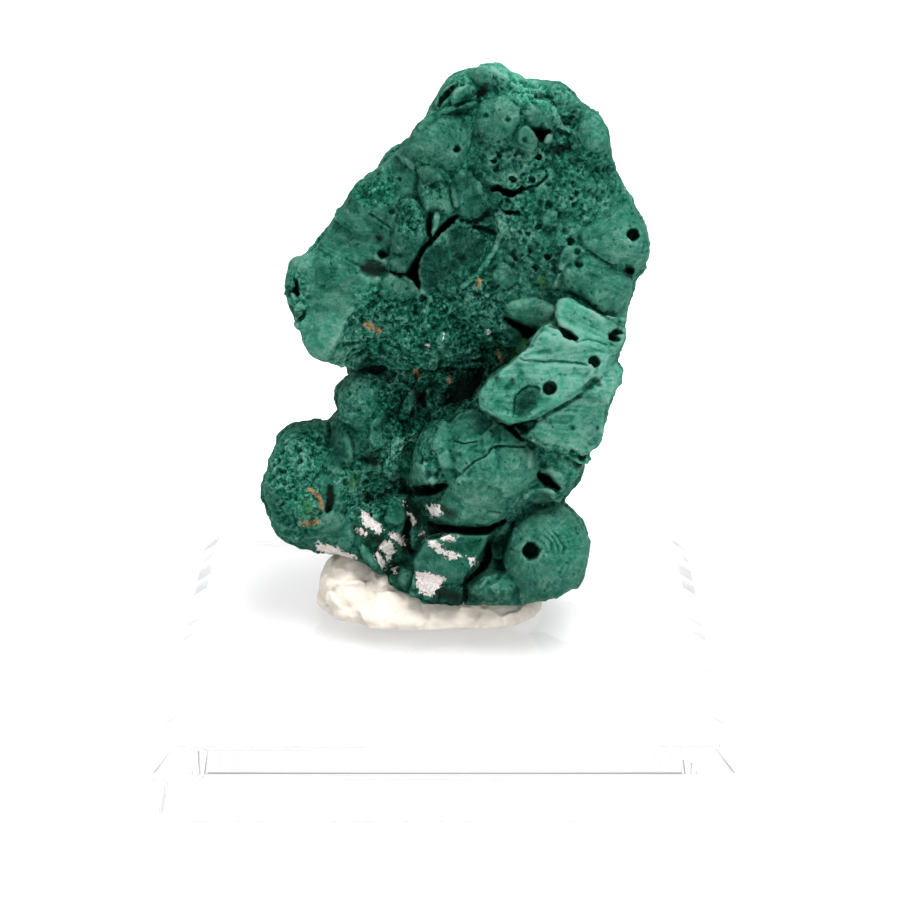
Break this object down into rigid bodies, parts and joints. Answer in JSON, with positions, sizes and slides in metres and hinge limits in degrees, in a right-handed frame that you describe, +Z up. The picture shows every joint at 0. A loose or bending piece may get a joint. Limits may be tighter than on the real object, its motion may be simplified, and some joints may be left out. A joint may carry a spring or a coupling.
{
  "type": "malachite specimen",
  "caption": "Upright lobed malachite specimen with worm-like holes and clefts, set in a pad of mineral putty on a clear square block with bevelled top edges.",
  "frame": {"origin": "middle of the clear block's underside", "axes": "+Z upwards through the stone, -Y towards the viewer of the stone's best side, +X to that viewer's right"},
  "size_m": [0.0508, 0.0508, 0.0602],
  "materials": {
    "clear_acrylic": "polished",
    "mineral_putty": "matte",
    "malachite_green": "matte"
  },
  "bodies": {
    "root": {"block": "clear_acrylic", "putty_pad": "mineral_putty", "malachite": "malachite_green"}
  },
  "joints": []
}
